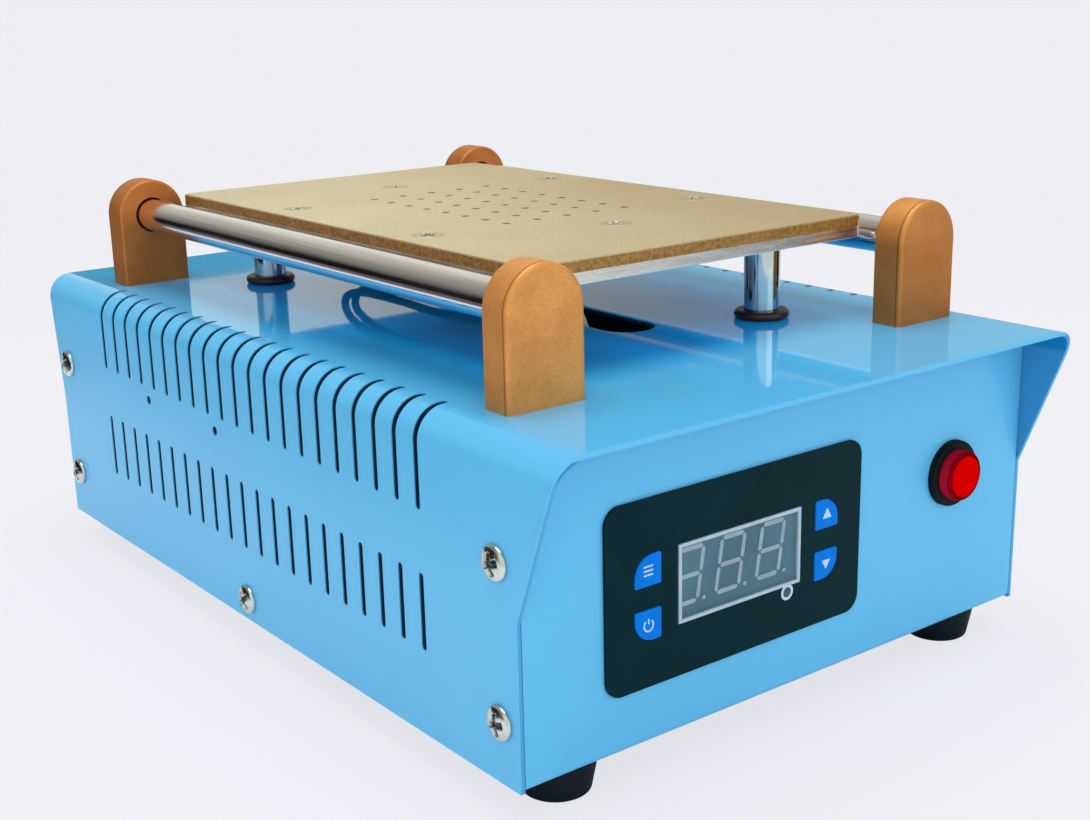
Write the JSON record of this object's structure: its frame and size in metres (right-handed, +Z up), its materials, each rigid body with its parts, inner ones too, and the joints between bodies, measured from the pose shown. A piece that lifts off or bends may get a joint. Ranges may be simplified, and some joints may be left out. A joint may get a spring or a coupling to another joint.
{
  "type": "lcd screen separator",
  "caption": "Bench machine with a heated suction plate on posts over a slotted folded cover, two steel rollers in arched brackets, and a front panel with display, keys and start button.",
  "frame": {"origin": "on the surface it stands on, under the middle of its outline", "axes": "+Z up, -Y out of the front panel, +X to the right seen from the front"},
  "size_m": [0.1802, 0.2766, 0.123],
  "materials": {
    "blue_paint": "gloss",
    "black_rubber": "matte",
    "dark_collar": "satin",
    "screw_steel": "polished",
    "plate_screw_steel": "satin",
    "bronze_paint": "metallic satin",
    "bush_bronze": "satin",
    "brushed_roller": "ground",
    "gold_plate": "matte metallic",
    "aluminium": "milled",
    "heater_silicone": "matte",
    "chrome": "polished",
    "hose_silicone": "satin",
    "lead_black": "satin",
    "lead_white": "satin",
    "overlay_black": "satin",
    "display_white": "satin",
    "display_slate": "satin",
    "digit_grey": "satin",
    "board_green": "satin",
    "switch_black": "satin",
    "relay_blue": "satin",
    "terminal_green": "satin",
    "lamp_clear": "gloss",
    "key_blue": "satin",
    "start_red": "gloss",
    "motor_steel": "satin",
    "pump_white": "satin",
    "coil_yellow": "satin",
    "screw_black": "satin"
  },
  "bodies": {
    "base": {"top_cover": "blue_paint", "chassis_tray": "blue_paint", "foot_front_left": "black_rubber", "foot_front_right": "black_rubber", "foot_rear_left": "black_rubber", "foot_rear_right": "black_rubber", "pump_cradle": "black_rubber", "post_collars": "dark_collar", "foot_screws": "screw_steel", "foot_nuts": "screw_steel", "cover_screws_left": "screw_steel", "cover_screws_right": "screw_steel", "bracket_screws": "screw_steel", "post_screws": "screw_steel", "board_standoffs": "screw_steel", "power_standoffs": "screw_steel", "plate_screws": "plate_screw_steel", "bracket_front_left": "bronze_paint", "bracket_front_right": "bronze_paint", "bracket_rear_left": "bronze_paint", "bracket_rear_right": "bronze_paint", "roller_bushes": "bush_bronze", "vacuum_elbow": "bush_bronze", "hot_plate": "gold_plate", "vacuum_plate": "aluminium", "heater_pad": "heater_silicone", "post_front_left": "chrome", "post_front_right": "chrome", "post_rear_left": "chrome", "post_rear_right": "chrome", "vacuum_hose": "hose_silicone", "heater_leads": "lead_black", "sensor_lead": "lead_white", "control_overlay": "overlay_black", "display_body": "display_white", "display_face": "display_slate", "display_digits": "digit_grey", "control_board": "board_green", "power_board": "board_green", "key_switches": "switch_black", "start_body": "switch_black", "start_nut": "switch_black", "inlet_socket": "switch_black", "rocker_housing": "switch_black", "board_relay": "relay_blue", "terminal_block": "terminal_green", "status_led": "lamp_clear", "pump_motor": "motor_steel", "pump_strap": "motor_steel", "pump_head": "pump_white", "power_parts": "coil_yellow", "inlet_screws": "screw_black"},
    "roller_left": {"roller_left": "brushed_roller"},
    "roller_right": {"roller_right": "brushed_roller"},
    "start_cap": {"start_cap": "start_red"},
    "key_set": {"key_set": "key_blue"},
    "key_power": {"key_power": "key_blue"},
    "key_up": {"key_up": "key_blue"},
    "key_down": {"key_down": "key_blue"},
    "mains_rocker": {"mains_rocker": "switch_black"}
  },
  "joints": [
    {"name": "roller_left_spin", "type": "hinge", "parent": "base", "child": "roller_left", "pos_m": [-0.0648, 0.00165, 0.112], "axis": [0, 1, 0], "continuous": true},
    {"name": "roller_right_spin", "type": "hinge", "parent": "base", "child": "roller_right", "pos_m": [0.0648, 0.00165, 0.112], "axis": [0, 1, 0], "continuous": true},
    {"name": "start_press", "type": "slide", "parent": "base", "child": "start_cap", "axis": [0, 1, 0], "range_m": [0, 0.003], "stiffness_N_per_m": 800},
    {"name": "key_set_press", "type": "slide", "parent": "base", "child": "key_set", "axis": [0, 1, 0], "range_m": [0, 0.0004], "stiffness_N_per_m": 2000},
    {"name": "key_power_press", "type": "slide", "parent": "base", "child": "key_power", "axis": [0, 1, 0], "range_m": [0, 0.0004], "stiffness_N_per_m": 2000},
    {"name": "key_up_press", "type": "slide", "parent": "base", "child": "key_up", "axis": [0, 1, 0], "range_m": [0, 0.0004], "stiffness_N_per_m": 2000},
    {"name": "key_down_press", "type": "slide", "parent": "base", "child": "key_down", "axis": [0, 1, 0], "range_m": [0, 0.0004], "stiffness_N_per_m": 2000},
    {"name": "mains_rocker_tip", "type": "hinge", "parent": "base", "child": "mains_rocker", "pos_m": [0.008, 0.13175, 0.049], "axis": [1, 0, 0], "range_deg": [0, 18]}
  ]
}
